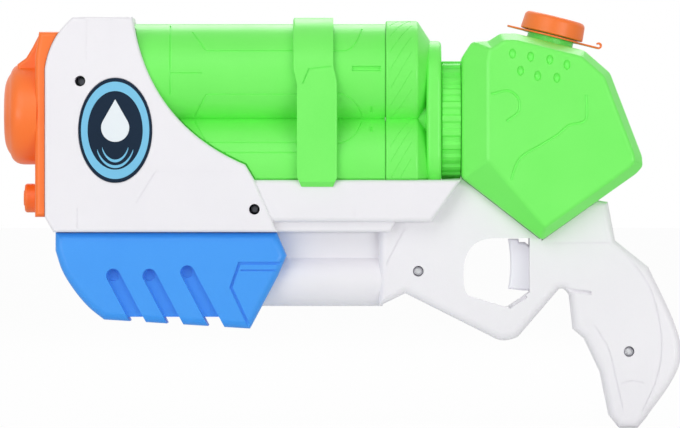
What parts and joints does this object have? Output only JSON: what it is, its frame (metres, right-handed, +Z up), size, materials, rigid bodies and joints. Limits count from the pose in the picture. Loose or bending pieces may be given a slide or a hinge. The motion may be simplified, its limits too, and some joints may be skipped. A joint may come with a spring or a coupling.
{
  "type": "water squirter",
  "caption": "Pump-action toy water squirter: twin-lobed green pressure tank, rear tank with screw cap, sliding pump grip under the front, trigger and pistol grip.",
  "frame": {"origin": "middle of the hand grip, halfway down it on the parting plane", "axes": "+X back from muzzle to grip, +Y across to the toy's right side, +Z up"},
  "size_m": [0.4052, 0.072, 0.2497],
  "materials": {
    "housing_white": "satin moulded white ABS",
    "tank_green": "satin moulded bright green",
    "nozzle_orange": "satin moulded orange",
    "pump_blue": "satin moulded sky blue",
    "trigger_grey": "satin moulded pale blue grey",
    "badge_navy": "printed oval badge, dark rim",
    "inner_natural": "natural moulded plastic, hidden inside",
    "hose_clear": "soft milky hose, hidden inside",
    "seal_rubber": "black rubber",
    "screw_steel": "zinc plated steel"
  },
  "bodies": {
    "housing": {"body_left": "housing_white", "body_right": "housing_white", "body_screw_1": "screw_steel", "body_screw_2": "screw_steel", "body_screw_3": "screw_steel", "body_screw_4": "screw_steel", "badge_left": "badge_navy", "badge_right": "badge_navy", "nozzle_shroud": "nozzle_orange", "nozzle_tip": "nozzle_orange", "lower_nozzle": "nozzle_orange", "nozzle_oring": "seal_rubber", "nozzle_manifold": "inner_natural", "front_tank": "tank_green", "tank_end_cap": "tank_green", "link_oring": "seal_rubber", "tank_collar": "tank_green", "link_pipe": "tank_green", "tank_strap": "tank_green", "rear_tank": "tank_green", "filler_neck": "tank_green", "cap_tether": "nozzle_orange", "pump_cylinder": "inner_natural", "cylinder_gland": "inner_natural", "cylinder_head": "inner_natural", "check_valve": "seal_rubber", "charge_hose": "hose_clear", "release_valve": "inner_natural", "valve_plug": "inner_natural", "nozzle_hose": "hose_clear", "trigger_spring": "screw_steel"},
    "pump": {"pump_grip_left": "pump_blue", "pump_grip_right": "pump_blue", "pump_rod": "inner_natural", "rod_pin": "screw_steel", "pump_piston": "inner_natural", "piston_oring": "seal_rubber"},
    "trigger": {"trigger": "trigger_grey", "release_plunger": "inner_natural", "plunger_oring": "seal_rubber"},
    "cap_seal": {"cap_gasket": "seal_rubber"},
    "cap": {"fill_cap": "nozzle_orange"}
  },
  "joints": [
    {"name": "pump_slide", "type": "slide", "parent": "housing", "child": "pump", "axis": [1, 0, 0], "range_m": [0, 0.054]},
    {"name": "trigger_pull", "type": "slide", "parent": "housing", "child": "trigger", "axis": [1, 0, 0], "range_m": [0, 0.006], "stiffness_N_per_m": 800, "springref_m": -0.004, "deforming": ["trigger_spring"]},
    {"name": "cap_lift", "type": "slide", "parent": "housing", "child": "cap_seal", "axis": [0.2419, 0, 0.9703], "range_m": [0, 0.012]},
    {"name": "cap_turn", "type": "hinge", "parent": "cap_seal", "child": "cap", "pos_m": [-0.046, 0, 0.17816], "axis": [0.2419, 0, 0.9703], "range_deg": [0, 720]}
  ],
  "couplings": [
    {"joint": "cap_lift", "follows": "cap_turn", "m_per_rad": 0.00095493}
  ]
}
